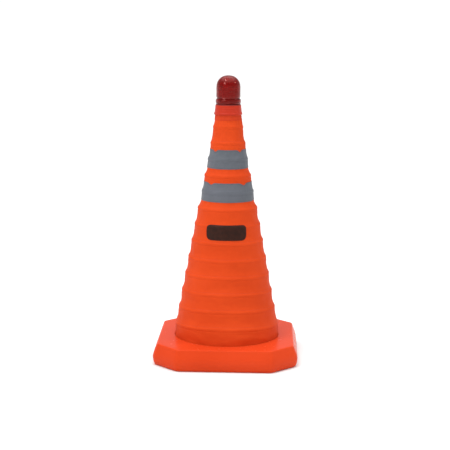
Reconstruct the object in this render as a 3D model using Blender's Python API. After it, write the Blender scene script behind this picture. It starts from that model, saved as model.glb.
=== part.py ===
"""A collapsible traffic cone: a weighted base, a fabric sleeve on thirteen hoops, and a warning light on top.

Units are metres, +Z is up, and the origin is the centre of the footprint on the floor.
The cone stands at its full height. A conical spring holds it up, and pressing the light down
lowers every hoop into the round well of the base.
"""

import math

import bmesh
import bpy
from mathutils import Vector

# Driving dimensions, in metres
HEIGHT = 0.711
SIDES = 32                # flat faces round the large turned pieces
FINE_SIDES = 24           # flat faces round the pieces of the light
GAP = 0.0003              # left between pieces that touch

# Base: a square with cut corners, as (half width, corner cut, height) from the floor up
BASE_LEVELS = (
    (0.1750, 0.0590, 0.0000),
    (0.1788, 0.0610, 0.0080),
    (0.1800, 0.0620, 0.0230),
    (0.1706, 0.0552, 0.0500),
    (0.1685, 0.0540, 0.0533),
)
BASE_WALL = 0.003
BASE_TOP = 0.0533
WELL_RADIUS = 0.1327
WELL_WALL = 0.0022
PLATE_THICKNESS = 0.003

# Sleeve: hoops at falling distances, on a straight taper
HOOPS = 13
FIRST_HOOP = 0.082
FIRST_PITCH = 0.0439
PITCH_LOSS = 0.0004
FOOT_RADIUS = 0.130
TAPER = 0.187             # loss of radius for each unit of height
CLOTH = 0.001
HOOP_INSET = 0.0020       # from the outside of the cloth to the outside of the hoop
HOOP_STRIP = (0.0016, 0.003)
BAY_BELOW = 0.002         # how far a bay's cloth reaches below its own hoop
BAY_TOP_ROOM = 0.0015     # so that the next bay can slide down inside
TAPED_HOOPS = (8, 10)     # hoops under the reflective bands, counted from 0
TAPE_PULL = 0.003         # the bands don't stretch, so their hoops are this much smaller
BAND_LOWER = (0.401, 0.448)
BAND_UPPER = (0.482, 0.529)
BAND_THICKNESS = 0.0006

# Light and collar
COLLAR_BOTTOM = 0.6139
COLLAR_TOP = 0.6376
COLLAR_RADIUS = 0.0333     # above its lip
LENS_BOTTOM = 0.6400
LENS_RADIUS = 0.0303
LENS_FLANGE = 0.0316
LENS_WALL = 0.0022
LENS_CROWN = 0.031        # height of the rounded top
TUBE_BOTTOM = 0.594
TUBE_RADIUS = 0.017

# Main spring
SPRING_TURNS = 9
SPRING_WIRE = 0.0013
SPRING_FOOT = 0.068
SPRING_HEAD = 0.0245
SPRING_STEPS = 16         # in each turn
WIRE_SIDES = 6

ORANGE_MOULDING = (0.84, 0.070, 0.020)
ORANGE_CLOTH = (0.79, 0.085, 0.020)
GREY_BAND = (0.16, 0.16, 0.17)
STEEL = (0.45, 0.45, 0.46)
BLACK = (0.02, 0.02, 0.02)
CAST_IRON = (0.09, 0.09, 0.09)
RED_LENS = (0.24, 0.010, 0.008)
IVORY = (0.75, 0.72, 0.64)
BOARD_GREEN = (0.02, 0.16, 0.06)


def hoop_height(k):
    return FIRST_HOOP + FIRST_PITCH * k - PITCH_LOSS / 2 * k * (k - 1)


def sleeve_radius(k):
    """The outside of the cloth at hoop k."""
    pull = TAPE_PULL if k in TAPED_HOOPS else 0.0
    return FOOT_RADIUS - TAPER * (hoop_height(k) - FIRST_HOOP) - pull


def finish(name, mesh, colour, roughness=0.5, metallic=0.0, alpha=1.0):
    """An object of this name, in its own plain material, with its faces turned outwards."""
    material = bpy.data.materials.new(name)
    material.use_nodes = True
    shader = material.node_tree.nodes["Principled BSDF"]
    shader.inputs["Base Color"].default_value = (*colour, 1.0)
    shader.inputs["Roughness"].default_value = roughness
    shader.inputs["Metallic"].default_value = metallic
    shader.inputs["Alpha"].default_value = alpha
    mesh.materials.append(material)
    mesh.shade_smooth()
    mesh.set_sharp_from_angle(angle=math.radians(35))
    piece = bpy.data.objects.new(name, mesh)
    bpy.context.scene.collection.objects.link(piece)
    return piece


def closed_mesh(name, points, faces):
    bm = bmesh.new()
    corners = [bm.verts.new(p) for p in points]
    for face in faces:
        bm.faces.new([corners[i] for i in face])
    bmesh.ops.recalc_face_normals(bm, faces=bm.faces)
    mesh = bpy.data.meshes.new(name)
    bm.to_mesh(mesh)
    bm.free()
    return mesh


def loft(name, rings, closed=True):
    """A skin over rings of equally many points. It closes on its first ring, or is capped at both ends."""
    count = len(rings[0])
    points = [p for ring in rings for p in ring]
    faces = []
    spans = len(rings) if closed else len(rings) - 1
    for r in range(spans):
        low = r * count
        high = (r + 1) % len(rings) * count
        for i in range(count):
            j = (i + 1) % count
            faces.append((low + i, low + j, high + j, high + i))
    if not closed:
        faces.append(tuple(range(count)))
        faces.append(tuple(range(len(points) - count, len(points))))
    return closed_mesh(name, points, faces)


def circle(radius, z, sides=SIDES):
    turns = [2 * math.pi * i / sides for i in range(sides)]
    return [Vector((radius * math.cos(t), radius * math.sin(t), z)) for t in turns]


def turned(name, profile, sides=SIDES):
    """A ring with this section, a closed outline of (radius, height) points."""
    return loft(name, [circle(r, z, sides) for r, z in profile])


def turned_solid(name, profile, sides=SIDES, centre=(0.0, 0.0)):
    """A solid of revolution with flat ends, from a list of (radius, height) points."""
    offset = Vector((centre[0], centre[1], 0.0))
    rings = [[p + offset for p in circle(r, z, sides)] for r, z in profile]
    return loft(name, rings, closed=False)


def octagon(half, cut, z, long_steps=1, cut_steps=1):
    """The base's outline: a square with cut corners, its sides divided into equal steps."""
    reach = half - cut
    right = Vector((half, -reach, z)), Vector((half, reach, z)), Vector((reach, half, z))
    ring = []
    for quarter in range(4):
        turn = math.pi / 2 * quarter
        low, mid, far = [rotated(p, turn) for p in right]
        ring += [low.lerp(mid, i / long_steps) for i in range(long_steps)]
        ring += [mid.lerp(far, i / cut_steps) for i in range(cut_steps)]
    return ring


def rotated(point, turn):
    c = math.cos(turn)
    s = math.sin(turn)
    return Vector((c * point.x - s * point.y, s * point.x + c * point.y, point.z))


def cut_away(piece, cutter, operation="DIFFERENCE"):
    """Applies a Boolean with a guide object, and removes the guide."""
    cutter.hide_render = True
    cutter.display_type = "WIRE"
    step = piece.modifiers.new("cut", "BOOLEAN")
    step.operation = operation
    step.solver = "EXACT"
    step.object = cutter
    bpy.context.view_layer.update()
    shape = piece.evaluated_get(bpy.context.evaluated_depsgraph_get())
    mesh = bpy.data.meshes.new_from_object(shape)
    old = piece.data
    piece.modifiers.clear()
    piece.data = mesh
    mesh.name = piece.name
    bpy.data.meshes.remove(old)
    bpy.data.objects.remove(cutter)
    return piece


def guide(mesh):
    piece = bpy.data.objects.new("guide", mesh)
    bpy.context.scene.collection.objects.link(piece)
    return piece


def join_axis(name, location=(0, 0, 0), parent=None):
    """An empty on a joint's axis, which carries the pieces that move together."""
    empty = bpy.data.objects.new(name, None)
    empty.location = location
    empty.empty_display_size = 0.02
    empty.parent = parent
    bpy.context.scene.collection.objects.link(empty)
    return empty


def carry(piece, empty):
    """Parents a piece to an empty and leaves it where it is."""
    bpy.context.view_layer.update()
    piece.parent = empty
    piece.matrix_parent_inverse = empty.matrix_world.inverted()
    return piece


# ---------------------------------------------------------------- base

SCREW_CIRCLE = 0.155
BALLAST_TOP = 0.016
BOSS_RADIUS = 0.006
BOSS_BORE = 0.0020
SCREW_SHANK = 0.0016
SCREW_HEAD = 0.0034
HEAD_ROOM = 0.0024


def screw_places():
    turns = [math.pi / 2 * i for i in range(4)]
    return [(SCREW_CIRCLE * math.cos(t), SCREW_CIRCLE * math.sin(t)) for t in turns]


def base_shell():
    """The moulded cover: drafted outer walls, a flat top, and a round well in the middle."""
    steps = (SIDES // 4 - 2, 2)
    outside = [octagon(h, c, z, *steps) for h, c, z in BASE_LEVELS]
    count = len(outside[0])
    start = math.atan2(-(BASE_LEVELS[-1][0] - BASE_LEVELS[-1][1]), BASE_LEVELS[-1][0])
    turns = [start + 2 * math.pi * i / count for i in range(count)]
    under = BASE_TOP - BASE_WALL
    floor = PLATE_THICKNESS + 2 * GAP

    def round_ring(radius, z):
        return [Vector((radius * math.cos(t), radius * math.sin(t), z)) for t in turns]

    well = [
        round_ring(WELL_RADIUS, BASE_TOP),
        round_ring(WELL_RADIUS, floor),
        round_ring(WELL_RADIUS + WELL_WALL, floor),
        round_ring(WELL_RADIUS + WELL_WALL, under),
    ]
    inside = [octagon(BASE_LEVELS[3][0] - BASE_WALL, BASE_LEVELS[3][1], under - 0.0004, *steps)]
    for half, cut, z in reversed(BASE_LEVELS[:3]):
        inside.append(octagon(half - BASE_WALL, cut, z, *steps))
    shell = finish("base_shell", loft("base_shell", outside + well + inside), ORANGE_MOULDING, 0.3)
    for place in screw_places():
        outline = ((BOSS_RADIUS, floor), (BOSS_RADIUS, under + BASE_WALL / 2))
        boss = guide(turned_solid("boss", outline, 12, place))
        cut_away(shell, boss, "UNION")
        bore = ((BOSS_BORE, 0.0), (BOSS_BORE, 0.018))
        cut_away(shell, guide(turned_solid("bore", bore, 12, place)))
    return shell


def bottom_plate():
    """The flat plate under the base, with a stepped hole for each screw."""
    half = BASE_LEVELS[0][0] - BASE_WALL - 2 * GAP
    cut = BASE_LEVELS[0][1]
    rings = [octagon(half, cut, 0.0), octagon(half, cut, PLATE_THICKNESS)]
    plate = finish("bottom_plate", loft("bottom_plate", rings, closed=False), BLACK, 0.6)
    for place in screw_places():
        hole = (
            (SCREW_HEAD + GAP, -0.001),
            (SCREW_HEAD + GAP, HEAD_ROOM),
            (BOSS_BORE, HEAD_ROOM),
            (BOSS_BORE, PLATE_THICKNESS + 0.001),
        )
        cut_away(plate, guide(turned_solid("hole", hole, 12, place)))
    return plate


def base_screw(number, place):
    outline = (
        (SCREW_HEAD * 0.8, 0.0004),
        (SCREW_HEAD, 0.0010),
        (SCREW_HEAD, HEAD_ROOM - GAP),
        (SCREW_SHANK, HEAD_ROOM - GAP),
        (SCREW_SHANK, 0.0145),
        (SCREW_SHANK * 0.5, 0.0160),
    )
    name = f"base_screw_{number}"
    return finish(name, turned_solid(name, outline, 12, place), STEEL, 0.35, 1.0)


def ballast_weight(number):
    """A cast block that fills one corner of the base, between the well and the outer walls."""
    inner = WELL_RADIUS + WELL_WALL + 0.0022
    reach = 0.108             # the corner cut starts here
    half = 0.166
    spread = math.radians(17)
    middle = math.pi / 4
    steps = 6
    arc = [middle - spread + 2 * spread * i / steps for i in range(steps + 1)]
    outline = [Vector((inner * math.cos(t), inner * math.sin(t), 0.0)) for t in arc]
    edge = half * math.tan(middle - spread)
    outline += [Vector(p) for p in ((edge, half, 0), (reach, half, 0), (half, reach, 0), (half, edge, 0))]
    rings = []
    for z in (PLATE_THICKNESS + 2 * GAP, BALLAST_TOP):
        turned_points = [rotated(p, math.pi / 2 * number) for p in outline]
        rings.append([Vector((p.x, p.y, z)) for p in turned_points])
    name = f"ballast_weight_{number + 1}"
    return finish(name, loft(name, rings, closed=False), CAST_IRON, 0.8)


def clamp_ring():
    """The ring that holds the foot of the sleeve inside the well."""
    inner = FOOT_RADIUS + 0.0004
    outer = FOOT_RADIUS + 0.0013
    section = ((inner, 0.042), (outer, 0.042), (outer, 0.050), (inner, 0.050))
    return finish("sleeve_clamp_ring", turned("sleeve_clamp_ring", section), BLACK, 0.5)


def latch_socket():
    """The socket in the middle of the base. Its inward lip has two notches for the lugs of the light."""
    floor = PLATE_THICKNESS + GAP
    lip = TUBE_RADIUS + 0.0006
    section = (
        (0.0214, floor),
        (0.0300, floor),
        (0.0300, floor + 0.0016),
        (0.0235, floor + 0.0030),
        (0.0235, 0.0178),
        (lip, 0.0178),
        (lip, 0.0152),
        (0.0214, 0.0152),
    )
    socket = finish("latch_socket", turned("latch_socket", section, FINE_SIDES), BLACK, 0.5)
    notch = box("notch", (0.044, 0.0182, 0.006), (0, 0, 0.0165))
    return cut_away(socket, guide(notch))


def box(name, size, centre):
    x, y, z = [s / 2 for s in size]
    low = [Vector(p) + Vector(centre) for p in ((-x, -y, -z), (x, -y, -z), (x, y, -z), (-x, y, -z))]
    high = [p + Vector((0, 0, 2 * z)) for p in low]
    return loft(name, [low, high], closed=False)


def main_spring():
    """The conical wire spring that holds the cone up, from the bottom plate to the cap in the neck."""
    steps = SPRING_STEPS * SPRING_TURNS
    bottom = PLATE_THICKNESS + 3 * GAP + SPRING_WIRE
    top = COLLAR_BOTTOM - 0.0016
    rings = []
    for i in range(steps + 1):
        share = i / steps
        turn = 2 * math.pi * SPRING_TURNS * share
        radius = SPRING_FOOT + (SPRING_HEAD - SPRING_FOOT) * share
        height = bottom + (top - bottom) * share
        outward = Vector((math.cos(turn), math.sin(turn), 0.0))
        centre = outward * radius + Vector((0, 0, height))
        section = [2 * math.pi * j / WIRE_SIDES for j in range(WIRE_SIDES)]
        rings.append([
            centre + outward * (SPRING_WIRE * math.cos(a)) + Vector((0, 0, SPRING_WIRE * math.sin(a)))
            for a in section
        ])
    return finish("main_spring", loft("main_spring", rings, closed=False), STEEL, 0.35, 1.0)


# ---------------------------------------------------------------- sleeve


def cone_wall(name, low, high, thickness, colour, roughness=0.9):
    """A thin wall on a cone, between two (outer radius, height) rings."""
    section = (low, high, (high[0] - thickness, high[1]), (low[0] - thickness, low[1]))
    return finish(name, turned(name, section), colour, roughness)


def foot_sleeve():
    """The lowest cloth, which is clamped in the well and stays with the base."""
    outer = FOOT_RADIUS + 0.0023
    top = FIRST_HOOP - BAY_BELOW - 2 * GAP
    return cone_wall("sleeve_foot", (outer, 0.042), (outer, top), 0.0007, ORANGE_CLOTH)


def hoop(k):
    outer = sleeve_radius(k) - HOOP_INSET
    thick, tall = HOOP_STRIP
    low = hoop_height(k) - tall / 2
    section = ((outer, low), (outer, low + tall), (outer - thick, low + tall), (outer - thick, low))
    name = f"hoop_{k + 1:02d}"
    return finish(name, turned(name, section), STEEL, 0.4, 1.0)


def bay_ends(k):
    """The cloth between hoop k and the next one, as two (outer radius, height) rings."""
    bottom = hoop_height(k)
    top = hoop_height(k + 1)
    upper_radius = sleeve_radius(k + 1) + BAY_TOP_ROOM + CLOTH
    return (sleeve_radius(k), bottom - BAY_BELOW), (upper_radius, top - BAY_BELOW - 2 * GAP)


def bay(k):
    low, high = bay_ends(k)
    return cone_wall(f"sleeve_bay_{k + 1:02d}", low, high, CLOTH, ORANGE_CLOTH)


def band(name, k, span):
    """The part of a reflective band that lies on bay k."""
    low, high = bay_ends(k)

    def radius_at(z):
        share = (z - low[1]) / (high[1] - low[1])
        return low[0] + (high[0] - low[0]) * share + GAP + BAND_THICKNESS

    bottom = max(span[0], low[1])
    top = min(span[1], high[1])
    ends = (radius_at(bottom), bottom), (radius_at(top), top)
    return cone_wall(name, *ends, BAND_THICKNESS, GREY_BAND, 0.5)


def neck_sleeve():
    """The highest cloth, which ends inside the collar and moves with it."""
    return cone_wall("sleeve_neck", (0.0312, 0.5885), (0.0304, COLLAR_BOTTOM + 0.0040), 0.0008, ORANGE_CLOTH)


def spring_cap():
    """The ring inside the neck that the top of the spring pushes on."""
    top = COLLAR_BOTTOM + 0.0040
    section = (
        (0.0291, 0.600),
        (0.0291, top),
        (0.0220, top),
        (0.0220, top - 0.0034),
        (0.0276, top - 0.0034),
        (0.0276, 0.600),
    )
    return finish("spring_cap", turned("spring_cap", section, FINE_SIDES), BLACK, 0.5)


# ---------------------------------------------------------------- light


def collar():
    """The moulded collar under the light, with a lip at its foot and a shelf inside."""
    shelf = COLLAR_BOTTOM + 0.0045
    section = (
        (COLLAR_RADIUS + 0.0018, COLLAR_BOTTOM),
        (COLLAR_RADIUS + 0.0018, COLLAR_BOTTOM + 0.0050),
        (COLLAR_RADIUS + 0.0008, COLLAR_BOTTOM + 0.0062),
        (COLLAR_RADIUS, COLLAR_TOP - 0.0012),
        (COLLAR_RADIUS - 0.0007, COLLAR_TOP),
        (0.0293, COLLAR_TOP),
        (0.0293, shelf + 0.0026),
        (0.0200, shelf + 0.0026),
        (0.0200, shelf),
        (0.0312, shelf),
        (0.0318, COLLAR_BOTTOM),
    )
    return finish("light_collar", turned("light_collar", section, FINE_SIDES), ORANGE_MOULDING, 0.35)


def battery_tube():
    """The tube for the batteries. Its two lugs turn under the lip of the latch socket."""
    inner = TUBE_RADIUS - 0.0014
    seat = COLLAR_BOTTOM + 0.0074
    section = (
        (0.0010, TUBE_BOTTOM),
        (TUBE_RADIUS, TUBE_BOTTOM),
        (TUBE_RADIUS, seat),
        (0.0280, seat),
        (0.0280, seat + 0.0022),
        (inner, seat + 0.0022),
        (inner, TUBE_BOTTOM + 0.0018),
        (0.0010, TUBE_BOTTOM + 0.0018),
    )
    tube = finish("battery_tube", turned("battery_tube", section, FINE_SIDES), BLACK, 0.5)
    bar = box("lugs", (0.0408, 0.0120, 0.0032), (0, 0, TUBE_BOTTOM + 0.0036))
    core = ((inner + 0.0006, TUBE_BOTTOM + 0.0010), (inner + 0.0006, TUBE_BOTTOM + 0.0070))
    lugs = cut_away(guide(bar), guide(turned_solid("core", core, FINE_SIDES)))
    return cut_away(tube, lugs, "UNION")


def battery(number, side):
    foot = TUBE_BOTTOM + 0.0030
    outline = (
        (0.0040, foot),
        (0.0070, foot + 0.0008),
        (0.0070, foot + 0.0480),
        (0.0025, foot + 0.0484),
        (0.0025, foot + 0.0500),
    )
    name = f"battery_{number}"
    return finish(name, turned_solid(name, outline, 16, (side * 0.0073, 0.0)), STEEL, 0.4, 0.6)


def contact_plate():
    outline = ((0.0148, TUBE_BOTTOM + 0.0021), (0.0148, TUBE_BOTTOM + 0.0027))
    return finish("contact_plate", turned_solid("contact_plate", outline, 16), STEEL, 0.3, 1.0)


def light_base():
    """The seat of the lens: it fills the collar and has a rim that the lens turns on."""
    seat = COLLAR_BOTTOM + 0.0099
    section = (
        (0.0288, seat),
        (0.0288, LENS_BOTTOM - 0.0006),
        (0.0262, LENS_BOTTOM - 0.0006),
        (0.0262, LENS_BOTTOM + 0.0110),
        (0.0242, LENS_BOTTOM + 0.0110),
        (0.0242, LENS_BOTTOM + 0.0080),
        (0.0164, LENS_BOTTOM + 0.0080),
        (0.0164, seat),
    )
    return finish("light_base", turned("light_base", section, FINE_SIDES), BLACK, 0.5)


def gasket():
    section = (
        (0.0292, COLLAR_TOP + GAP),
        (0.0311, COLLAR_TOP + GAP),
        (0.0311, LENS_BOTTOM - GAP),
        (0.0292, LENS_BOTTOM - GAP),
    )
    return finish("lens_gasket", turned("lens_gasket", section, FINE_SIDES), BLACK, 0.8)


def led_board():
    low = LENS_BOTTOM + 0.0084
    outline = ((0.0238, low), (0.0238, low + 0.0016))
    return finish("led_board", turned_solid("led_board", outline, FINE_SIDES), BOARD_GREEN, 0.5)


def led(number):
    turn = 2 * math.pi * number / 3 + math.pi / 6
    place = (0.012 * math.cos(turn), 0.012 * math.sin(turn))
    foot = LENS_BOTTOM + 0.0103
    outline = (
        (0.0030, foot),
        (0.0030, foot + 0.0010),
        (0.0025, foot + 0.0012),
        (0.0025, foot + 0.0060),
        (0.0018, foot + 0.0078),
        (0.0006, foot + 0.0086),
    )
    name = f"led_{number + 1}"
    return finish(name, turned_solid(name, outline, 12, place), IVORY, 0.2)


def lens():
    """The domed red lens: a flange, a short straight wall, and a rounded top."""
    flange_top = LENS_BOTTOM + 0.0155
    spring_line = HEIGHT - LENS_CROWN
    steps = 7
    tip = 0.0012
    sweep = [math.pi / 2 * i / steps for i in range(steps)]
    outside = [(LENS_FLANGE, LENS_BOTTOM), (LENS_FLANGE, flange_top), (LENS_RADIUS, flange_top + 0.0012)]
    outside += [(LENS_RADIUS * math.cos(t), spring_line + LENS_CROWN * math.sin(t)) for t in sweep]
    inner_radius = LENS_RADIUS - LENS_WALL
    inner_crown = LENS_CROWN - LENS_WALL
    inside = [(inner_radius * math.cos(t), spring_line + inner_crown * math.sin(t)) for t in reversed(sweep)]
    inside.append((inner_radius, LENS_BOTTOM))
    rings = [circle(r, z, FINE_SIDES) for r, z in outside]
    rings.append(circle(tip, HEIGHT, FINE_SIDES))
    rings_inside = [circle(tip, HEIGHT - LENS_WALL, FINE_SIDES)]
    rings_inside += [circle(r, z, FINE_SIDES) for r, z in inside]
    count = FINE_SIDES
    points = [p for ring in rings + rings_inside for p in ring]
    outer_rings = len(rings)
    total = outer_rings + len(rings_inside)
    faces = []
    for r in range(total):
        if r == outer_rings - 1:
            continue
        low = r * count
        high = (r + 1) % total * count
        for i in range(count):
            j = (i + 1) % count
            faces.append((low + i, low + j, high + j, high + i))
    faces.append(tuple((outer_rings - 1) * count + i for i in range(count)))
    faces.append(tuple(outer_rings * count + i for i in range(count)))
    return finish("lens", closed_mesh("lens", points, faces), RED_LENS, 0.1, 0.0, 0.6)


# ---------------------------------------------------------------- assembly


def build():
    for old in list(bpy.data.objects):
        bpy.data.objects.remove(old)

    base_shell()
    bottom_plate()
    for number, place in enumerate(screw_places(), start=1):
        base_screw(number, place)
    for number in range(4):
        ballast_weight(number)
    clamp_ring()
    latch_socket()
    main_spring()
    foot_sleeve()

    carriers = []
    for k in range(HOOPS):
        carrier = join_axis(f"hoop_carrier_{k + 1:02d}", (0, 0, hoop_height(k)))
        carry(hoop(k), carrier)
        if k < HOOPS - 1:
            carry(bay(k), carrier)
        carriers.append(carrier)
    carry(band("band_lower_a", 7, BAND_LOWER), carriers[7])
    carry(band("band_lower_b", 8, BAND_LOWER), carriers[8])
    carry(band("band_upper_a", 9, BAND_UPPER), carriers[9])
    carry(band("band_upper_b", 10, BAND_UPPER), carriers[10])

    neck_carrier = join_axis("neck_carrier", (0, 0, COLLAR_BOTTOM))
    carry(neck_sleeve(), neck_carrier)
    carry(spring_cap(), neck_carrier)

    light_carrier = join_axis("light_carrier", (0, 0, 0), neck_carrier)
    fixed_pieces = [collar(), battery_tube(), contact_plate(), light_base(), gasket(), led_board()]
    fixed_pieces += [battery(1, -1), battery(2, 1)]
    fixed_pieces += [led(number) for number in range(3)]
    for piece in fixed_pieces:
        carry(piece, light_carrier)

    lens_carrier = join_axis("lens_carrier", (0, 0, LENS_BOTTOM - COLLAR_BOTTOM), neck_carrier)
    carry(lens(), lens_carrier)


build()
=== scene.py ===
"""Looks for the collapsible traffic cone: cloth sleeve, taped bands, moulded base and light."""

import math

import bmesh
import bpy
from mathutils import Euler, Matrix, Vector, noise


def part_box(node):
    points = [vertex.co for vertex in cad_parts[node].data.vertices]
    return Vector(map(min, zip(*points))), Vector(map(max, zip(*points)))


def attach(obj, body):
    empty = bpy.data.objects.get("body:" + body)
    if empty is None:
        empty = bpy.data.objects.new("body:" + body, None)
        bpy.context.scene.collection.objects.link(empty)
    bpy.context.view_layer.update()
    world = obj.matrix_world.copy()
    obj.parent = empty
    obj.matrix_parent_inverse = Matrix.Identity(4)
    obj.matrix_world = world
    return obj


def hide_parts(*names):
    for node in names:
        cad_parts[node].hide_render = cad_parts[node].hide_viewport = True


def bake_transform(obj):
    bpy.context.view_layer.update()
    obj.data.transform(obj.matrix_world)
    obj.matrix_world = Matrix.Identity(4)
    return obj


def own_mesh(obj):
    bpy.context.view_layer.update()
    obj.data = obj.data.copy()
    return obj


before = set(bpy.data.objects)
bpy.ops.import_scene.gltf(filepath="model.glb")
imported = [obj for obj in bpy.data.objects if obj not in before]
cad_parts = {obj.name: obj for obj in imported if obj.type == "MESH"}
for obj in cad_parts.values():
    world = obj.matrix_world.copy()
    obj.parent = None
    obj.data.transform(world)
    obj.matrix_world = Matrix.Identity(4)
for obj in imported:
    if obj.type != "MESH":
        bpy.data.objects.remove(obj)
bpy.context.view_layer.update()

# ---------------------------------------------------------------- measures from the frame

ROUND = 192                 # steps round the sleeve
HOOP_COUNT = 13
CLOTH_OVER_HOOP = 0.0034    # from the outside of a hoop to the outside of the cloth
CLOTH_THICKNESS = 0.0006


def middle_height(node):
    low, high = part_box(node)
    return (low[2] + high[2]) / 2


def outer_radius(node):
    low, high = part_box(node)
    return (high[0] - low[0]) / 2


HOOP_Z = [middle_height(f"hoop_{k + 1:02d}") for k in range(HOOP_COUNT)]
HOOP_R = [outer_radius(f"hoop_{k + 1:02d}") + CLOTH_OVER_HOOP for k in range(HOOP_COUNT)]
TIGHT_BAYS = (9, 11)        # when collapsed, these lie inside a hoop that is drawn in by its band
TIGHTER = 0.0012
for tight in TIGHT_BAYS:
    HOOP_R[tight] -= TIGHTER
BASE_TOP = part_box("base_shell")[1][2]
WELL_GAP = 0.0004           # from the CAD model's sleeve foot to the wall of the well
FOOT_GAP = 0.0005           # from the wall of the well to the cloth
WELL_RADIUS = outer_radius("sleeve_foot") + WELL_GAP
COLLAR_BOTTOM, COLLAR_TOP = (corner[2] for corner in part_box("light_collar"))
LENS_BOTTOM, LENS_TOP = (corner[2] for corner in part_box("lens"))
NECK_RADIUS = 0.0320        # the cloth's, where it goes into the collar
FOOT_RADIUS = WELL_RADIUS - FOOT_GAP
BANDS = {
    "lower": (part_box("band_lower_a")[0][2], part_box("band_lower_b")[1][2]),
    "upper": (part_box("band_upper_a")[0][2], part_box("band_upper_b")[1][2]),
}


# ---------------------------------------------------------------- small tools


def wander(*place):
    """Smooth noise between about -1 and 1, the same each run."""
    return noise.noise(Vector(place))


def built(name, bm, angle=40):
    """The finished piece of a bmesh, smooth except over edges sharper than the angle."""
    bmesh.ops.recalc_face_normals(bm, faces=bm.faces)
    mesh = bpy.data.meshes.new(name)
    bm.to_mesh(mesh)
    bm.free()
    mesh.shade_smooth()
    mesh.set_sharp_from_angle(angle=math.radians(angle))
    piece = bpy.data.objects.new(name, mesh)
    bpy.context.scene.collection.objects.link(piece)
    return piece


def skin(name, rings, angle=40, gap=None):
    """A closed loop of rings of equally many points. The span after ring gap is left out and capped."""
    bm = bmesh.new()
    rows = [[bm.verts.new(point) for point in points] for points in rings]
    for r, here in enumerate(rows):
        beyond = rows[(r + 1) % len(rows)]
        if r == gap:
            bm.faces.new(here)
            bm.faces.new(beyond)
            continue
        for i in range(len(here)):
            j = (i + 1) % len(here)
            bm.faces.new((here[i], here[j], beyond[j], beyond[i]))
    return built(name, bm, angle)


def ring(radius, z, steps=ROUND):
    turns = [2 * math.pi * i / steps for i in range(steps)]
    return [(radius * math.cos(t), radius * math.sin(t), z) for t in turns]


def rounded(profile):
    """The closed outline of points (x, y, radius), with each corner rounded by its own radius."""
    steps = 3
    result = []
    count = len(profile)
    for i in range(count):
        here = Vector(profile[i][:2])
        before = Vector(profile[i - 1][:2])
        after = Vector(profile[(i + 1) % count][:2])
        reach = min(profile[i][2], (before - here).length * 0.45, (after - here).length * 0.45)
        a = here + (before - here).normalized() * reach
        b = here + (after - here).normalized() * reach
        for s in range(steps + 1):
            t = s / steps
            result.append(tuple((1 - t) ** 2 * a + 2 * t * (1 - t) * here + t * t * b))
    return result


# ---------------------------------------------------------------- materials


class Nodes:
    """A material's node tree, with short ways to add nodes."""

    def __init__(self, name):
        self.material = bpy.data.materials.new(name)
        self.material.use_nodes = True
        self.tree = self.material.node_tree
        self.shader = self.tree.nodes["Principled BSDF"]

    def add(self, kind, **values):
        node = self.tree.nodes.new(kind)
        for key, value in values.items():
            if key in node.inputs:
                node.inputs[key].default_value = value
            else:
                setattr(node, key, value)
        return node

    def join(self, output, socket):
        self.tree.links.new(output, socket)

    def place(self):
        return self.add("ShaderNodeTexCoord").outputs["Object"]

    def noise(self, scale, detail=3.0, roughness=0.5):
        node = self.add("ShaderNodeTexNoise")
        node.inputs["Scale"].default_value = scale
        node.inputs["Detail"].default_value = detail
        node.inputs["Roughness"].default_value = roughness
        self.join(self.place(), node.inputs["Vector"])
        return node.outputs["Fac"]

    def math(self, operation, a, b=0.0):
        node = self.add("ShaderNodeMath", operation=operation)
        for socket, value in zip(node.inputs, (a, b)):
            if isinstance(value, (int, float)):
                socket.default_value = value
            else:
                self.join(value, socket)
        return node.outputs[0]

    def ramp(self, factor, stops):
        node = self.add("ShaderNodeValToRGB")
        elements = node.color_ramp.elements
        while len(elements) < len(stops):
            elements.new(0.5)
        for element, (position, colour) in zip(elements, stops):
            element.position = position
            element.color = (*colour, 1.0)
        self.join(factor, node.inputs["Fac"])
        return node.outputs["Color"]

    def range(self, factor, low, high):
        node = self.add("ShaderNodeMapRange")
        node.inputs["To Min"].default_value = low
        node.inputs["To Max"].default_value = high
        self.join(factor, node.inputs["Value"])
        return node.outputs["Result"]

    def bump(self, height, strength, distance, normal=None):
        node = self.add("ShaderNodeBump")
        node.inputs["Strength"].default_value = strength
        node.inputs["Distance"].default_value = distance
        self.join(height, node.inputs["Height"])
        if normal is not None:
            self.join(normal, node.inputs["Normal"])
        return node.outputs["Normal"]

    def set(self, **values):
        for key, value in values.items():
            self.shader.inputs[key.replace("_", " ")].default_value = value

    def feed(self, **sockets):
        for key, value in sockets.items():
            self.join(value, self.shader.inputs[key.replace("_", " ")])


def mixed(nodes, factor, a, b):
    """A colour mix; a and b are colours or sockets."""
    node = nodes.add("ShaderNodeMix", data_type="RGBA")
    nodes.join(factor, node.inputs[0])
    for index, value in ((6, a), (7, b)):
        if isinstance(value, tuple):
            node.inputs[index].default_value = (*value, 1.0)
        else:
            nodes.join(value, node.inputs[index])
    return node.outputs[2]


THREADS_ROUND = 620.0
THREADS_PER_METRE = 900.0


def weave_height(nodes):
    """A plain weave in cylinder coordinates: threads run round and up the sleeve."""
    split = nodes.add("ShaderNodeSeparateXYZ")
    nodes.join(nodes.place(), split.inputs[0])
    x, y, z = split.outputs
    turn = nodes.math("ARCTAN2", y, x)
    round_wave = nodes.math("SINE", nodes.math("MULTIPLY", turn, THREADS_ROUND))
    up_wave = nodes.math("SINE", nodes.math("MULTIPLY", z, THREADS_PER_METRE * 2 * math.pi))
    return nodes.math("MULTIPLY", round_wave, up_wave)


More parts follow.
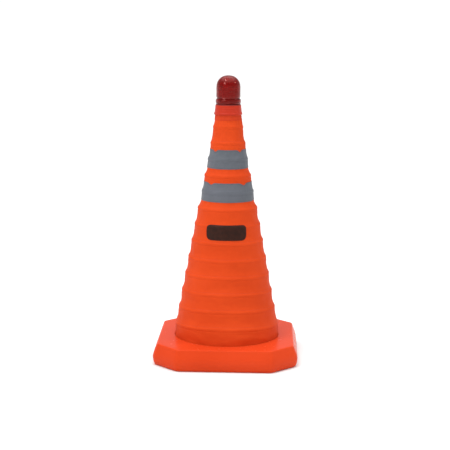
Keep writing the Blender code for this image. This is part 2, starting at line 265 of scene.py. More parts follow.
def cloth_material():
    """Orange coated cloth: its weave shows faintly through the coating."""
    n = Nodes("sleeve_cloth")
    broad = n.noise(9.0, 2.0)
    fine = n.noise(60.0, 4.0, 0.6)
    tint = n.ramp(broad, [(0.3, (0.575, 0.052, 0.0085)), (0.7, (0.640, 0.063, 0.0115))])
    colour = mixed(n, n.range(fine, 0.0, 0.35), tint, (0.54, 0.046, 0.0085))
    rough = n.range(fine, 0.52, 0.66)
    weave = weave_height(n)
    cloud = n.noise(140.0, 3.0)
    normal = n.bump(weave, 0.12, 0.0003)
    normal = n.bump(cloud, 0.10, 0.0012, normal)
    n.set(Specular_IOR_Level=0.05)
    n.feed(Base_Color=colour, Roughness=rough, Normal=normal)
    return n.material


def tape_material():
    """Grey retroreflective tape: glass beads in fine cells, with a little shine."""
    n = Nodes("reflective_tape")
    broad = n.noise(16.0, 3.0)
    tint = n.ramp(broad, [(0.25, (0.104, 0.116, 0.132)), (0.75, (0.134, 0.141, 0.166))])
    beads = n.add("ShaderNodeTexVoronoi", feature="F1")
    beads.inputs["Scale"].default_value = 1400.0
    n.join(n.place(), beads.inputs["Vector"])
    bead_height = beads.outputs["Distance"]
    colour = mixed(n, n.range(bead_height, 0.0, 0.30), tint, (0.075, 0.080, 0.088))
    normal = n.bump(bead_height, 0.15, 0.0002)
    normal = n.bump(n.noise(90.0, 3.0), 0.12, 0.001, normal)
    n.set(Metallic=0.0, Specular_IOR_Level=0.12)
    n.feed(Base_Color=colour, Roughness=n.range(broad, 0.42, 0.55), Normal=normal)
    return n.material


def moulding_material(name, dark, light, roughness=(0.28, 0.40), grain=0.05, gloss=0.5):
    """Moulded plastic: slight flow marks, a fine spark-eroded grain and handling scuffs."""
    n = Nodes(name)
    broad = n.noise(7.0, 2.0)
    fine = n.noise(900.0, 2.0)
    scuffs = n.noise(55.0, 6.0, 0.7)
    colour = n.ramp(broad, [(0.3, dark), (0.7, light)])
    scuff_mask = n.ramp(scuffs, [(0.60, (0.0, 0.0, 0.0)), (0.78, (1.0, 1.0, 1.0))])
    rough = n.math("ADD", n.range(broad, *roughness), n.math("MULTIPLY", scuff_mask, 0.10))
    normal = n.bump(fine, grain, 0.0002)
    n.set(Specular_IOR_Level=gloss)
    n.feed(Base_Color=colour, Roughness=rough, Normal=normal)
    return n.material


def metal_material(name, colour, roughness=(0.25, 0.42)):
    n = Nodes(name)
    marks = n.noise(300.0, 5.0, 0.6)
    cloud = n.noise(30.0, 3.0)
    tint = n.ramp(cloud, [(0.3, tuple(c * 0.82 for c in colour)), (0.7, colour)])
    n.set(Metallic=1.0)
    n.feed(Base_Color=tint, Roughness=n.range(marks, *roughness), Normal=n.bump(marks, 0.1, 0.0001))
    return n.material


def rough_material(name, dark, light, roughness=(0.6, 0.85), pit_scale=220.0, bump=(0.4, 0.0006), gloss=0.5):
    """Anything with fine pits or fibres. bump is the pits' strength and depth."""
    n = Nodes(name)
    pits = n.noise(pit_scale, 5.0, 0.65)
    cloud = n.noise(25.0, 3.0)
    colour = n.ramp(cloud, [(0.3, dark), (0.7, light)])
    n.set(Specular_IOR_Level=gloss)
    n.feed(Base_Color=colour, Roughness=n.range(pits, *roughness), Normal=n.bump(pits, *bump))
    return n.material


LENS_DENSITY = 380.0         # the plastic takes up light by its thickness, so it is darker edge on


def lens_material():
    """Clear red polycarbonate, a little clouded by the light traps inside it."""
    n = Nodes("lens_red")
    cloud = n.noise(60.0, 3.0)
    colour = n.ramp(cloud, [(0.3, (0.43, 0.0035, 0.0028)), (0.7, (0.50, 0.0048, 0.0036))])
    n.set(Transmission_Weight=0.80, IOR=1.45, Specular_IOR_Level=0.38, Specular_Tint=(1.0, 0.45, 0.40, 1.0))
    n.feed(Base_Color=colour, Roughness=n.range(cloud, 0.02, 0.05), Normal=n.bump(cloud, 0.02, 0.0004))
    depth = n.add("ShaderNodeVolumeAbsorption", Color=(0.86, 0.10, 0.08, 1.0), Density=LENS_DENSITY)
    n.join(depth.outputs["Volume"], n.tree.nodes["Material Output"].inputs["Volume"])
    return n.material


def print_material():
    n = Nodes("printed_ink")
    cloud = n.noise(120.0, 4.0)
    colour = n.ramp(cloud, [(0.3, (0.022, 0.0075, 0.0045)), (0.8, (0.040, 0.012, 0.007))])
    n.set(Specular_IOR_Level=0.12)
    normal = n.bump(weave_height(n), 0.1, 0.0003)
    n.feed(Base_Color=colour, Roughness=n.range(cloud, 0.45, 0.6), Normal=normal)
    return n.material


CLOTH = cloth_material()
CLOTH_THREAD = rough_material(
    "cloth_thread", (0.40, 0.030, 0.006), (0.50, 0.042, 0.009), (0.6, 0.8), 2400.0, (0.3, 0.0001),
)
TAPE_THREAD = rough_material(
    "tape_thread", (0.050, 0.054, 0.060), (0.075, 0.080, 0.090), (0.6, 0.8), 2400.0, (0.3, 0.0001),
)
TAPE = tape_material()
BINDING_TAPE = rough_material(
    "neck_binding", (0.47, 0.036, 0.009), (0.54, 0.044, 0.011), (0.6, 0.8), 900.0, (0.3, 0.0002), gloss=0.1,
)
BASE_PLASTIC = moulding_material(
    "base_moulding", (0.585, 0.048, 0.0105), (0.645, 0.056, 0.0135), (0.22, 0.30), grain=0.04, gloss=0.05,
)
COLLAR_PLASTIC = moulding_material(
    "collar_moulding", (0.42, 0.027, 0.011), (0.48, 0.033, 0.014), (0.30, 0.42), grain=0.05, gloss=0.10,
)
LENS_PLASTIC = lens_material()
INK = print_material()
BLACK_PLASTIC = moulding_material("black_plastic", (0.014, 0.014, 0.015), (0.024, 0.024, 0.025), (0.42, 0.56))
PLATE_PLASTIC = rough_material("plate_plastic", (0.018, 0.018, 0.018), (0.034, 0.034, 0.035))
RUBBER = rough_material("gasket_rubber", (0.15, 0.010, 0.007), (0.20, 0.013, 0.009), (0.65, 0.8))
SPRING_STEEL = metal_material("spring_steel", (0.46, 0.46, 0.47))
SCREW_STEEL = metal_material("screw_steel", (0.60, 0.60, 0.58))
CONTACT_METAL = metal_material("contact_metal", (0.62, 0.58, 0.50))
IRON = rough_material(
    "ballast_iron", (0.060, 0.058, 0.055), (0.11, 0.10, 0.09), (0.7, 0.9), 150.0, (0.7, 0.001),
)
BOARD = moulding_material("board_green", (0.010, 0.10, 0.035), (0.016, 0.15, 0.055), (0.3, 0.4))
LED_CLEAR = moulding_material("led_clear", (0.72, 0.70, 0.64), (0.80, 0.78, 0.72), (0.08, 0.14))
CELL = metal_material("battery_case", (0.20, 0.21, 0.24), (0.3, 0.4))

# ---------------------------------------------------------------- sleeve

FLARE = 3.3                 # how soon the cloth falls straight below a hoop
RIDGE = 0.0017              # half the height over which the cloth turns round a hoop
FOOT_TUCK = 0.0003          # how far the cloth draws in between the lowest hoop and the base
CASING_BELOW = 0.0052       # from a hoop down to the seam under its casing
CASING_ABOVE = 0.0024       # from a hoop up to the folded edge of its casing
FRONT_LIFT = 0.0125         # the cloth's ridges sit this much higher in front, at the lowest hoop
FRONT_LIFT_LOSS = 0.060     # less by this share of the height above it
FRONT_LIFT_LEAST = 0.0020
EDGE_WIDTH = 0.0020
EDGE_HEIGHT = 0.0005        # the folded edge stands proud by this much
SEAM_WIDTH = 0.0018
SEAM_DEPTH = 0.0005
SEAM_REACH = 0.0170         # the cloth's rows are close together this near to a hoop
FINE_ROW = 0.0009
COARSE_ROW = 0.0024
GATHER = 0.00045            # the small puckers along a casing
SLACK = 0.0016              # the broad slack of the cloth, then its folds and its creases
FOLDS = 0.0010
CREASES = 0.0005
SLIP = 0.0014               # how far the cloth has slipped up or down between hoops
FOOT_FOLD = 0.0024
FOOT_SLANT = 5.0            # radians of turn for each metre
BINDING = 0.0130            # height of the binding tape round the top of the sleeve
BINDING_TUCK = 0.0015       # how far it goes up into the collar
BINDING_THICKNESS = 0.0007
BINDING_LIFT = 0.0008
NECK_TUCK = 0.0030
FOOT_INSIDE = 0.0060        # how far the foot goes down into the well


def rest_radius(z):
    """The cloth's mean radius: it flares out above each hoop and hangs straight below the next."""
    if z <= HOOP_Z[0]:
        span = HOOP_Z[0] - BASE_TOP
        t = min(max((HOOP_Z[0] - z) / span, 0.0), 1.0)
        return HOOP_R[0] + (FOOT_RADIUS - HOOP_R[0]) * t - FOOT_TUCK * math.sin(math.pi * t)
    if z >= HOOP_Z[-1]:
        t = (z - HOOP_Z[-1]) / (COLLAR_BOTTOM - HOOP_Z[-1])
        return NECK_RADIUS + (HOOP_R[-1] - NECK_RADIUS) * max(1 - t, 0.0) ** 1.5
    k = max(i for i in range(HOOP_COUNT - 1) if HOOP_Z[i] <= z)
    t = (z - HOOP_Z[k]) / (HOOP_Z[k + 1] - HOOP_Z[k])
    return HOOP_R[k + 1] + (HOOP_R[k] - HOOP_R[k + 1]) * (1 - t) ** FLARE


def eased_radius(z):
    """rest_radius, with the corner at each hoop rounded off."""
    steps = 5
    near = [rest_radius(z + RIDGE * s / steps) for s in range(-steps, steps + 1)]
    return sum(near) / len(near)


def between_hoops(z):
    """0 at a hoop and 1 half way to the next."""
    marks = [BASE_TOP] + HOOP_Z + [COLLAR_BOTTOM]
    for low, high in zip(marks, marks[1:]):
        if low <= z <= high:
            return math.sin(math.pi * (z - low) / (high - low))
    return 0.0


def bell(x, width):
    return math.exp(-((x / width) ** 2))


def front_lift(z, turn):
    """How much higher than its hoop the cloth's ridge sits at this turn, most in front and none behind."""
    share = (0.5 - 0.5 * math.sin(turn)) ** 3
    lift = FRONT_LIFT - FRONT_LIFT_LOSS * max(z - HOOP_Z[0], 0.0)
    return share * max(lift, FRONT_LIFT_LEAST)


def casing(z, turn):
    """The sewn casing round each hoop: a folded edge above the hoop, a seam below it, and puckers at both."""
    k = min(range(HOOP_COUNT), key=lambda i: abs(HOOP_Z[i] - z))
    away = z - HOOP_Z[k]
    if abs(away) > SEAM_REACH:
        return 0.0
    x = math.cos(turn)
    y = math.sin(turn)
    pull = wander(5.0 * x, 5.0 * y, k * 3.7)
    gather = wander(12.0 * x, 12.0 * y, k * 5.1 + z * 40.0)
    edge = EDGE_HEIGHT * (1.0 + 0.9 * pull) * bell(away - CASING_ABOVE, EDGE_WIDTH)
    lower = SEAM_DEPTH * (1.0 + 0.8 * pull) * bell(away + CASING_BELOW, SEAM_WIDTH)
    above = bell(away - CASING_ABOVE - 0.004, 0.006)
    below = bell(away + CASING_BELOW + 0.002, 0.006)
    return edge - lower + GATHER * gather * (above + below)


def foot_folds(z, turn):
    """Slanting folds where the foot of the sleeve is drawn down into the base."""
    if not BASE_TOP < z < HOOP_Z[0]:
        return 0.0
    share = (z - BASE_TOP) / (HOOP_Z[0] - BASE_TOP)
    slant = turn + FOOT_SLANT * (z - BASE_TOP)
    run = wander(3.4 * math.cos(slant), 3.4 * math.sin(slant), 17.0 + 34.0 * z)
    return FOOT_FOLD * run * math.sin(math.pi * share)


def sleeve_radius(z, turn):
    """The outside of the cloth, with its slack, its small folds and its seams."""
    x = math.cos(turn)
    y = math.sin(turn)
    free = between_hoops(z)
    size = rest_radius(z) / FOOT_RADIUS
    slack = SLACK * wander(2.2 * x, 2.2 * y, z * 26.0) * (0.25 + 0.75 * free)
    folds = FOLDS * wander(4.5 * x, 4.5 * y, z * 62.0 + 3.0 * turn / math.pi) * free
    creases = CREASES * wander(13.0 * x + 4.0, 13.0 * y, z * 80.0) * free
    slip = wander(3.0 * x, 3.0 * y, 11.0 + z * 9.0) * SLIP
    soft = (slack + folds + creases) * (0.45 + 0.55 * size)
    nominal = z - front_lift(z, turn) + slip * free
    return eased_radius(nominal) + soft + foot_folds(z, turn) + casing(nominal, turn)


def sleeve_heights(low, high):
    """Heights of the cloth's rows, close together near the hoops, where its seams are."""
    heights = [low]
    while heights[-1] < high:
        near = min(abs(heights[-1] - z) for z in HOOP_Z)
        heights.append(heights[-1] + (FINE_ROW if near < SEAM_REACH else COARSE_ROW))
    scale = (high - low) / (heights[-1] - low)
    return [low + (z - low) * scale for z in heights]


def level(turn):
    """The drop of an edge that isn't pulled down."""
    return 0.0


def cloth_rings(heights, lift, drop):
    """Rings of points on the cloth. drop(turn) is how far its top edge is pulled down."""
    low = heights[0]
    high = heights[-1]
    rings = []
    for height in heights:
        share = (height - low) / (high - low)
        row = []
        for i in range(ROUND):
            turn = 2 * math.pi * i / ROUND
            z = height - drop(turn) * share ** 3
            radius = sleeve_radius(z, turn) + lift
            row.append((radius * math.cos(turn), radius * math.sin(turn), z))
        rings.append(row)
    return rings


def cloth_piece(name, low, high, thickness=CLOTH_THICKNESS, lift=0.0, drop=level):
    """A thin closed shell of cloth between two heights."""
    heights = sleeve_heights(low, high)
    outside = cloth_rings(heights, lift, drop)
    inside = cloth_rings(heights, lift - thickness, drop)
    return skin(name, outside + inside[::-1])


def dress(piece, body, material, replaced=()):
    piece.data.materials.append(material)
    if replaced:
        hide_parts(*replaced)
    if body:
        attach(piece, body)


def flatten(piece):
    """Gives the piece its own copy of its mesh. In the real cone, the cloth above hoop k flattens onto it as
    the cone goes down.
    """
    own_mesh(piece)


def sleeve():
    for k in range(HOOP_COUNT - 1):
        low = HOOP_Z[k]
        high = HOOP_Z[k + 1]
        piece = cloth_piece(f"cloth_bay_{k + 1:02d}", low, high)
        dress(piece, f"hoop_body_{k + 1:02d}", CLOTH, [f"sleeve_bay_{k + 1:02d}"])
        flatten(piece)
    neck_top = COLLAR_BOTTOM + NECK_TUCK
    neck = cloth_piece("cloth_neck", HOOP_Z[-1], neck_top)
    dress(neck, "hoop_body_13", CLOTH, ["sleeve_neck"])
    flatten(neck)
    low = COLLAR_BOTTOM - BINDING
    high = COLLAR_BOTTOM + BINDING_TUCK
    binding = cloth_piece("neck_binding", low, high, BINDING_THICKNESS, BINDING_LIFT)
    dress(binding, "hoop_body_13", BINDING_TAPE)
    flatten(binding)


def foot():
    """The lowest cloth. It meets the base at its foot and the first hoop at its top, and is attached to no
    body.
    """
    low = BASE_TOP - FOOT_INSIDE
    piece = cloth_piece("cloth_foot", low, HOOP_Z[0])
    dress(piece, None, CLOTH, ["sleeve_foot"])
    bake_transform(piece)


# ---------------------------------------------------------------- bands

BAND_LIFT = 0.0008          # from the outside of the cloth to the outside of a band
BAND_THICKNESS = 0.0005
PUCKERS = ((-132, 0.0050), (-47, 0.0055), (38, 0.0040), (130, 0.0050))    # turn in degrees, and depth
PUCKER_WIDTH = 0.13         # radians
BAND_BAY = {"lower": 7, "upper": 9}    # the bay below the hidden hoop of each band
TAPED_BAYS = [k for first in BAND_BAY.values() for k in (first, first + 1)]


def pucker(turn):
    """How far the top edge of a band is pulled down where the cloth above it bunches."""
    total = 0.0006 * wander(3.0 * math.cos(turn), 3.0 * math.sin(turn), 7.0)
    for centre, depth in PUCKERS:
        from_centre = turn - math.radians(centre)
        away = math.atan2(math.sin(from_centre), math.cos(from_centre))
        total += depth * bell(away, PUCKER_WIDTH)
    return max(total, 0.0)


def bands():
    """Each band is in two parts, below and above the hoop that it hides."""
    for span, first in BAND_BAY.items():
        for part, k in (("a", first), ("b", first + 1)):
            low = max(BANDS[span][0], HOOP_Z[k])
            high = min(BANDS[span][1], HOOP_Z[k + 1])
            drop = pucker if high < HOOP_Z[k + 1] else level
            piece = cloth_piece(f"tape_{span}_{part}", low, high, BAND_THICKNESS, BAND_LIFT, drop)
            dress(piece, f"hoop_body_{k + 1:02d}", TAPE, [f"band_{span}_{part}"])
            flatten(piece)


# ---------------------------------------------------------------- patch

PATCH_WIDTH = 0.104
PATCH_SPAN = (0.3095, 0.3470)
PATCH_CORNER = 0.0120
PATCH_LIFTS = (0.0009, 0.0001)   # its front and its back, from the cloth
PATCH_STEP = 0.0013
PATCH_COLUMNS = 72


def patch_half(z):
    """Half the patch's width at a height: its corners are rounded."""
    low, high = PATCH_SPAN
    inward = max(PATCH_CORNER - min(z - low, high - z), 0.0)
    return PATCH_WIDTH / 2 - PATCH_CORNER + math.sqrt(max(PATCH_CORNER ** 2 - inward ** 2, 0.0))


def laid_on(name, low, high, middle, half, lifts, columns):
    """A thin closed piece that follows the cloth, half(z) wide to each side of the turn called middle."""
    count = max(2, round((high - low) / PATCH_STEP))
    heights = [low + (high - low) * i / count for i in range(count + 1)]
    bm = bmesh.new()

    def row(z, lift):
        points = []
        for c in range(columns + 1):
            turn = middle + half(z) * (2 * c / columns - 1) / rest_radius(z)
            radius = sleeve_radius(z, turn) + lift
            points.append(bm.verts.new((radius * math.cos(turn), radius * math.sin(turn), z)))
        return points

    front, back = [[row(z, lift) for z in heights] for lift in lifts]
    for rows in (front, back):
        for a, b in zip(rows, rows[1:]):
            for c in range(columns):
                bm.faces.new((a[c], a[c + 1], b[c + 1], b[c]))
    rims = [(front[end], back[end]) for end in (0, -1)]
    rims += [([row[end] for row in front], [row[end] for row in back]) for end in (0, -1)]
    for over, under in rims:
        for i in range(len(over) - 1):
            bm.faces.new((over[i], over[i + 1], under[i + 1], under[i]))
    return built(name, bm)


def ride_bay(piece, k, material):
    """Finishes a piece that lies on bay k: gives it its material, fixes it to that bay's body and gives it
    its own mesh.
    """
    dress(piece, f"hoop_body_{k + 1:02d}", material)
    flatten(piece)


def patch():
    """A plain dark printed patch on the front, with rounded corners and no lettering. It crosses a hoop."""
    low, high = PATCH_SPAN
    for name, k in (("front_patch_low", 5), ("front_patch_high", 6)):
        bottom = max(low, HOOP_Z[k])
        top = min(high, HOOP_Z[k + 1])
        piece = laid_on(name, bottom, top, -math.pi / 2, patch_half, PATCH_LIFTS, PATCH_COLUMNS)
        ride_bay(piece, k, INK)


# ---------------------------------------------------------------- sewing

SEAM_TURN = math.radians(96)     # the sleeve's own seam runs up its back
SEAM_HALF = 0.0045
STITCH = 0.0030
STITCH_PITCH = 0.0044
THREAD = 0.00032
STITCH_SIDES = 5
STITCH_STEPS = 4
BAND_EDGE = 0.0024               # from a band's edge to its row of stitches
HIDDEN_EDGE = 0.0050             # from the hoop under a band to the rows above and below it
CASING_STITCH = 0.0030           # from a casing's folded edge to its row of stitches
STITCHES_FOLLOW = 0.85           # the share of a pucker that the stitches follow
LAP_GAP = 0.0004                 # from the ends of a lap to a hoop's middle or a band
LAP_LIFT = 0.0009
TIGHT_LAP_LIFT = 0.0004
LAP_BACK = 0.0001
LAP_STITCH = 0.0028              # from the middle of a lap to its stitches
LAP_COLUMNS = 8


def stitch(bm, path):
    """One stitch along a few points: a round thread that dips into the cloth at both ends."""
    rings = []
    last = len(path) - 1
    for i, (point, along, outward) in enumerate(path):
        across = along.cross(outward)
        swell = THREAD * (0.45 + 0.55 * math.sin(math.pi * i / last))
        sink = THREAD * (1.0 - math.sin(math.pi * i / last))
        middle = point + outward * (THREAD * 0.6 - sink)
        ring_points = []
        for j in range(STITCH_SIDES):
            a = 2 * math.pi * j / STITCH_SIDES
            ring_points.append(bm.verts.new(middle + (across * math.cos(a) + outward * math.sin(a)) * swell))
        rings.append(ring_points)
    for a, b in zip(rings, rings[1:]):
        for j in range(STITCH_SIDES):
            n = (j + 1) % STITCH_SIDES
            bm.faces.new((a[j], a[n], b[n], b[j]))
    bm.faces.new(rings[0])
    bm.faces.new(rings[-1])


def stitch_row(name, height, lift):
    """A row of stitches round the sleeve. height(turn) is its height."""
    bm = bmesh.new()
    count = round(2 * math.pi * rest_radius(height(0.0)) / STITCH_PITCH)
    for s in range(count):
        path = []
        for i in range(STITCH_STEPS + 1):
            turn = 2 * math.pi * (s + STITCH / STITCH_PITCH * i / STITCH_STEPS) / count
            z = height(turn)
            radius = sleeve_radius(z, turn) + lift
            outward = Vector((math.cos(turn), math.sin(turn), 0.0))
            along = Vector((-math.sin(turn), math.cos(turn), 0.0))
            path.append((outward * radius + Vector((0, 0, z)), along, outward))
        stitch(bm, path)
    return built(name, bm, 60)


def stitch_column(name, low, high, turn, lift):
    """Stitches that run up the sleeve at one turn."""
    bm = bmesh.new()
    outward = Vector((math.cos(turn), math.sin(turn), 0.0))
    count = max(1, round((high - low) / STITCH_PITCH))
    for s in range(count):
        path = []
        for i in range(STITCH_STEPS + 1):
            z = low + (high - low) * (s + STITCH / STITCH_PITCH * i / STITCH_STEPS) / count
            point = outward * (sleeve_radius(z, turn) + lift) + Vector((0, 0, z))
            path.append((point, Vector((0, 0, 1)), outward))
        stitch(bm, path)
    return built(name, bm, 60)


def untaped(low, high):
    """The part of this span that no band covers."""
    for tape_low, tape_high in BANDS.values():
        if low < tape_low < high:
            high = tape_low - LAP_GAP
        if low < tape_high < high:
            low = tape_high + LAP_GAP
    return low, high


def sewn_casing(k):
    """The row of stitches along the casing of a hoop."""
    name = f"casing_stitches_{k + 1:02d}"
    edge = HOOP_Z[k] + CASING_ABOVE
    row = stitch_row(name, lambda turn: edge + CASING_STITCH + front_lift(HOOP_Z[k], turn), 0.0)
    ride_bay(row, k, CLOTH_THREAD)


def sewn_lap(k):
    """One bay of the lapped seam up the back, with a column of stitches along each side."""
    low, high = untaped(HOOP_Z[k] + LAP_GAP, HOOP_Z[k + 1] - LAP_GAP)
    lift = TIGHT_LAP_LIFT if k in TIGHT_BAYS else LAP_LIFT
    name = f"back_lap_{k + 1:02d}"
    lap = laid_on(name, low, high, SEAM_TURN, lambda z: SEAM_HALF, (lift, LAP_BACK), LAP_COLUMNS)
    ride_bay(lap, k, CLOTH)
    for side, name in ((-1, "left"), (1, "right")):
        turn = SEAM_TURN + side * LAP_STITCH / rest_radius((low + high) / 2)
        column = stitch_column(f"back_stitches_{name}_{k + 1:02d}", low, high, turn, lift)
        ride_bay(column, k, CLOTH_THREAD)


def sewn_band(span, k):
    """The rows of stitches along a band's edges, and along both sides of the hoop it hides."""
    low, high = BANDS[span]
    hidden = HOOP_Z[k + 1]
    for name, bay, height in (
        ("bottom", k, lambda turn: low + BAND_EDGE),
        ("top", k + 1, lambda turn: high - BAND_EDGE - pucker(turn) * STITCHES_FOLLOW),
        ("over", k + 1, lambda turn: hidden + HIDDEN_EDGE),
        ("under", k, lambda turn: hidden - HIDDEN_EDGE),
    ):
        row = stitch_row(f"band_stitches_{span}_{name}", height, BAND_LIFT)
        ride_bay(row, bay, TAPE_THREAD)


def sewing():
    for k in range(HOOP_COUNT - 1):
        if k not in TAPED_BAYS:
            sewn_casing(k)
        sewn_lap(k)
    for span, first in BAND_BAY.items():
        sewn_band(span, first)


# ---------------------------------------------------------------- base

CORNER_STEPS = 6
SIDE_STEPS = 10


def base_outline(half, cut, z, radius):
    """A square with cut corners, with each of its eight corners rounded."""
    reach = half - cut
    corners = []
    for quarter in range(4):
        turn = math.pi / 2 * quarter
        for x, y in ((half, -reach), (half, reach)):
            corners.append(Vector((
                x * math.cos(turn) - y * math.sin(turn),
                x * math.sin(turn) + y * math.cos(turn),
            )))
    arcs = []
    count = len(corners)
    for i, here in enumerate(corners):
        before = corners[i - 1]
        after = corners[(i + 1) % count]
        a = here + (before - here).normalized() * radius
        b = here + (after - here).normalized() * radius
        shares = [s / CORNER_STEPS for s in range(CORNER_STEPS + 1)]
        arcs.append([(1 - t) ** 2 * a + 2 * t * (1 - t) * here + t * t * b for t in shares])
    points = []
    for i, arc in enumerate(arcs):
        points += arc
        following = arcs[(i + 1) % count][0]
        points += [arc[-1].lerp(following, s / SIDE_STEPS) for s in range(1, SIDE_STEPS)]
    return [(p.x, p.y, z) for p in points]


def base():
    low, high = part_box("base_shell")
    half = (high[0] - low[0]) / 2
    top = high[2]
    wall = 0.003
    # inset from the widest line, corner cut, height and corner radius
    levels = (
        (0.0062, 0.0590, 0.0000, 0.007),
        (0.0050, 0.0592, 0.0008, 0.007),
        (0.0034, 0.0600, 0.0030, 0.008),
        (0.0014, 0.0610, 0.0085, 0.009),
        (0.0003, 0.0618, 0.0160, 0.009),
        (0.0000, 0.0620, 0.0230, 0.009),
        (0.0024, 0.0604, 0.0320, 0.008),
        (0.0056, 0.0582, 0.0410, 0.008),
        (0.0084, 0.0562, 0.0480, 0.007),
        (0.0092, 0.0553, 0.0508, 0.006),
        (0.0101, 0.0547, 0.0524, 0.006),
        (0.0113, 0.0541, 0.0532, 0.006),
        (0.0128, 0.0534, 0.0533, 0.005),
        (0.0200, 0.0505, 0.0533, 0.005),
    )
    outside = [base_outline(half - inset, cut, z, radius) for inset, cut, z, radius in levels]
    turns = [math.atan2(y, x) for x, y, _ in outside[0]]

    def round_ring(radius, z):
        return [(radius * math.cos(t), radius * math.sin(t), z) for t in turns]

    lip = 0.0011
    well = [round_ring(WELL_RADIUS + 0.006, top), round_ring(WELL_RADIUS + lip, top)]
    for degrees in range(15, 91, 15):
        a = math.radians(degrees)
        well.append(round_ring(WELL_RADIUS + lip * (1 - math.sin(a)), top - lip * (1 - math.cos(a))))
    well += [
        round_ring(WELL_RADIUS, 0.0038),
        round_ring(WELL_RADIUS + 0.0022, 0.0038),
        round_ring(WELL_RADIUS + 0.0022, top - wall),
    ]
    under = [base_outline(half - levels[8][0] - wall, levels[8][1], top - wall, 0.011)]
    for inset, cut, z, radius in (levels[5], levels[3], levels[0]):
        under.append(base_outline(half - inset - wall, cut, z, radius - 0.002))
    cover = skin("base_cover", outside + well + under, 50)
    dress(cover, "root", BASE_PLASTIC, ["base_shell"])


# ---------------------------------------------------------------- spring

SPRING_TURNS = 9
SPRING_WIRE = 0.0013        # radius of the wire
SPRING_HEAD = 0.0245        # radius of its highest turn
SPRING_STEPS = 40           # in each turn
WIRE_SIDES = 10


def spring():
    """The conical main spring, fixed on the base. In the real cone it flattens onto the bottom plate, under
    the hoops, as the cone goes down.
    """
    low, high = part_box("main_spring")
    foot = high[0] - SPRING_WIRE
    bottom = low[2] + SPRING_WIRE
    rise = high[2] - SPRING_WIRE - bottom
    last = SPRING_STEPS * SPRING_TURNS
    up = Vector((0.0, 0.0, 1.0))
    rings = []
    for i in range(last + 1):
        share = i / last
        turn = 2 * math.pi * SPRING_TURNS * share
        outward = Vector((math.cos(turn), math.sin(turn), 0.0))
        middle = outward * (foot + (SPRING_HEAD - foot) * share) + up * (bottom + rise * share)
        section = [2 * math.pi * j / WIRE_SIDES for j in range(WIRE_SIDES)]
        rings.append([middle + (outward * math.cos(a) + up * math.sin(a)) * SPRING_WIRE for a in section])
    coil = skin("spring_coil", rings, gap=last)
    dress(coil, "root", SPRING_STEEL, ["main_spring"])
    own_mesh(coil)


# ---------------------------------------------------------------- light


COLLAR_STEPS = 96
DOME_STEPS = 144
DOME_RIBS = 36
RIB_DEPTH = 0.0009
DOME_CROWN = 0.031          # height of the dome above its straight part
DOME_WALL = 0.0026
DOME_FULLNESS = 0.90        # 1 is a round dome, and less is squarer at the shoulders
DOME_TIP = 0.0008           # radius of the small flat disc at the very top


def collar():
    bottom = COLLAR_BOTTOM
    shelf = bottom + 0.0045
    lip = outer_radius("light_collar")
    wall = lip - 0.0018
    section = [
        (lip + 0.0001, bottom, 0.0012),
        (lip, bottom + 0.0048, 0.0014),
        (wall + 0.0006, bottom + 0.0056, 0.0006),
        (wall + 0.0003, bottom + 0.0110, 0.0004),
        (wall - 0.0002, bottom + 0.0116, 0.0004),
        (wall - 0.0004, bottom + 0.0172, 0.0004),
        (wall - 0.0008, bottom + 0.0178, 0.0004),
        (wall - 0.0011, COLLAR_TOP, 0.0012),
        (0.0294, COLLAR_TOP, 0.0004),
        (0.0294, shelf + 0.0026, 0.0004),
        (0.0200, shelf + 0.0026, 0.0003),
        (0.0200, shelf, 0.0003),
        (0.0322, shelf, 0.0003),
        (0.0326, bottom, 0.0006),
    ]
    piece = skin("collar_shell", [ring(r, z, COLLAR_STEPS) for r, z in rounded(section)])
    dress(piece, "light", COLLAR_PLASTIC, ["light_collar"])


def lens():
    low = LENS_BOTTOM
    top = LENS_TOP
    flange = outer_radius("lens")
    wall = flange - 0.0013
    shoulder = top - DOME_CROWN
    outside = [
        (flange - 0.0030, low + 0.0002),
        (flange - 0.0018, low + 0.0008),
        (flange - 0.0008, low + 0.0020),
        (flange - 0.0002, low + 0.0036),
        (flange, low + 0.0056),
        (flange, low + 0.0090),
        (flange - 0.0003, low + 0.0110),
        (flange - 0.0009, low + 0.0122),
        (wall - 0.0012, low + 0.0132),
        (wall - 0.0016, low + 0.0144),
        (wall - 0.0010, low + 0.0158),
        (wall - 0.0002, low + 0.0170),
        (wall, low + 0.0200),
    ]
    sweep = [math.radians(4.5 * s) for s in range(20)]
    for a in sweep:
        rise = DOME_CROWN * math.sin(a) ** DOME_FULLNESS
        outside.append((wall * math.cos(a) ** DOME_FULLNESS, shoulder + rise))
    rings = [ring(r, z, DOME_STEPS) for r, z in outside]
    rings.append(ring(DOME_TIP, top, DOME_STEPS))
    inner = wall - DOME_WALL
    inner_crown = DOME_CROWN - DOME_WALL
    inside = [(inner * math.cos(a), shoulder + inner_crown * math.sin(a)) for a in reversed(sweep)]
    inside += [(inner, low + 0.0200), (inner, low + 0.0150), (0.0268, low + 0.0140), (0.0268, low + 0.0002)]
    inner_rings = [ring(DOME_TIP, top - DOME_WALL, DOME_STEPS)]
    for r, z in inside:
        row = []
        ribbed = low + 0.016 < z < shoulder + 0.02
        for i in range(DOME_STEPS):
            turn = 2 * math.pi * i / DOME_STEPS
            depth = RIB_DEPTH * abs(math.sin(turn * DOME_RIBS / 2)) if ribbed else 0.0
            row.append(((r - depth) * math.cos(turn), (r - depth) * math.sin(turn), z))
        inner_rings.append(row)
    dome = skin("lens_dome", rings + inner_rings, 30, gap=len(rings) - 1)
    dress(dome, "lens_body", LENS_PLASTIC, ["lens"])


# ---------------------------------------------------------------- finishes of the CAD nodes


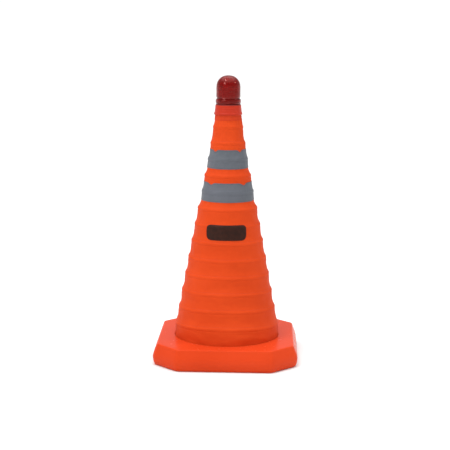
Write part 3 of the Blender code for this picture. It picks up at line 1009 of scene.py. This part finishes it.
def finish_nodes():
    finishes = {
        "hoop_": SPRING_STEEL,
        "main_spring": SPRING_STEEL,
        "base_screw_": SCREW_STEEL,
        "ballast_weight_": IRON,
        "bottom_plate": PLATE_PLASTIC,
        "sleeve_clamp_ring": BASE_PLASTIC,
        "lens_gasket": RUBBER,
        "contact_plate": CONTACT_METAL,
        "led_board": BOARD,
        "led_": LED_CLEAR,
        "battery_tube": BLACK_PLASTIC,
        "battery_": CELL,
    }
    for name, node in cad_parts.items():
        material = next((m for start, m in finishes.items() if name.startswith(start)), BLACK_PLASTIC)
        node.data.materials.clear()
        node.data.materials.append(material)


# ---------------------------------------------------------------- stage

CAMERA_DISTANCE = 3.0
CAMERA_HEIGHT = 0.853
CAMERA_YAW = -0.0326        # the cone's turn on the spot, as seen by the camera
CAMERA_PITCH = 0.1712
CAMERA_ROLL = 0.0070
SENSOR = 36.0               # millimetres
FOCAL_IN_FRAMES = 2.673333  # focal length for each unit of the frame's width
AIM_LEFT = 0.0020366        # radians from the cone's axis
FLOOR_SIZE = 90.0
FLOOR_GAP = 0.0002          # so that the base's underside and the floor aren't in one plane
OVERHEAD = 2.3              # the soft light from above, where the horizon is plain white
# the sine of the elevation, and the light from there
SKY = ((0.0, 1.04), (0.10, 1.04), (0.24, 0.52), (0.58, 0.52), (0.84, OVERHEAD))
# name, place, the height on the cone's axis that it is aimed at, size and power
LIGHTS = (
    ("key", (-1.5, -1.5, 2.1), 0.35, (1.0, 0.5), 15.0),
    ("top", (-0.82, -0.52, 3.1), LENS_TOP, (0.75, 0.30), 16.0),
    ("side", (2.2, -0.16, 2.05), LENS_TOP, (0.30, 0.30), 4.0),
)


def camera():
    data = bpy.data.cameras.new("camera")
    data.sensor_width = SENSOR
    data.lens = SENSOR * FOCAL_IN_FRAMES
    data.clip_end = 50.0
    eye = bpy.data.objects.new("camera", data)
    away = (-math.sin(CAMERA_YAW) * CAMERA_DISTANCE, -math.cos(CAMERA_YAW) * CAMERA_DISTANCE)
    eye.location = (*away, CAMERA_HEIGHT)
    turn = Euler((math.pi / 2 - CAMERA_PITCH, 0.0, -CAMERA_YAW + AIM_LEFT), "XYZ").to_matrix()
    roll = Euler((0.0, 0.0, CAMERA_ROLL), "XYZ").to_matrix()
    eye.rotation_euler = (turn @ roll).to_euler()
    bpy.context.scene.collection.objects.link(eye)
    bpy.context.scene.camera = eye


def area_light(name, place, aim_height, size, power):
    data = bpy.data.lights.new(name, "AREA")
    data.shape = "RECTANGLE"
    data.size = size[0]
    data.size_y = size[1]
    data.energy = power
    lamp = bpy.data.objects.new(name, data)
    lamp.location = place
    direction = Vector((0.0, 0.0, aim_height)) - Vector(place)
    lamp.rotation_euler = direction.to_track_quat("-Z", "Y").to_euler()
    bpy.context.scene.collection.objects.link(lamp)


def studio_floor():
    bpy.ops.mesh.primitive_plane_add(size=FLOOR_SIZE, location=(0, 0, -FLOOR_GAP))
    floor = bpy.context.object
    floor.name = "floor"
    n = Nodes("studio_floor")
    n.feed(Base_Color=n.ramp(n.noise(0.8, 2.0), [(0.3, (0.80, 0.80, 0.80)), (0.7, (0.82, 0.82, 0.82))]))
    n.set(Roughness=0.9, Specular_IOR_Level=0.1)
    floor.data.materials.append(n.material)


def sky():
    """A soft studio: plain white at the horizon, greyer above it, and bright overhead."""
    world = bpy.data.worlds.new("studio")
    world.use_nodes = True
    tree = world.node_tree
    place = tree.nodes.new("ShaderNodeTexCoord")
    split = tree.nodes.new("ShaderNodeSeparateXYZ")
    ramp = tree.nodes.new("ShaderNodeValToRGB")
    ramp.color_ramp.interpolation = "EASE"
    elements = ramp.color_ramp.elements
    while len(elements) < len(SKY):
        elements.new(0.5)
    for element, (height, light) in zip(elements, SKY):
        element.position = height
        grey = light / OVERHEAD
        element.color = (grey, grey, grey, 1.0)
    background = tree.nodes["Background"]
    background.inputs["Strength"].default_value = OVERHEAD
    tree.links.new(place.outputs["Generated"], split.inputs[0])
    tree.links.new(split.outputs["Z"], ramp.inputs["Fac"])
    tree.links.new(ramp.outputs["Color"], background.inputs["Color"])
    bpy.context.scene.world = world


def lights():
    for light in LIGHTS:
        area_light(*light)


sleeve()
foot()
bands()
patch()
sewing()
base()
spring()
collar()
lens()
finish_nodes()
camera()
studio_floor()
sky()
lights()
bpy.context.scene.view_settings.view_transform = "Standard"
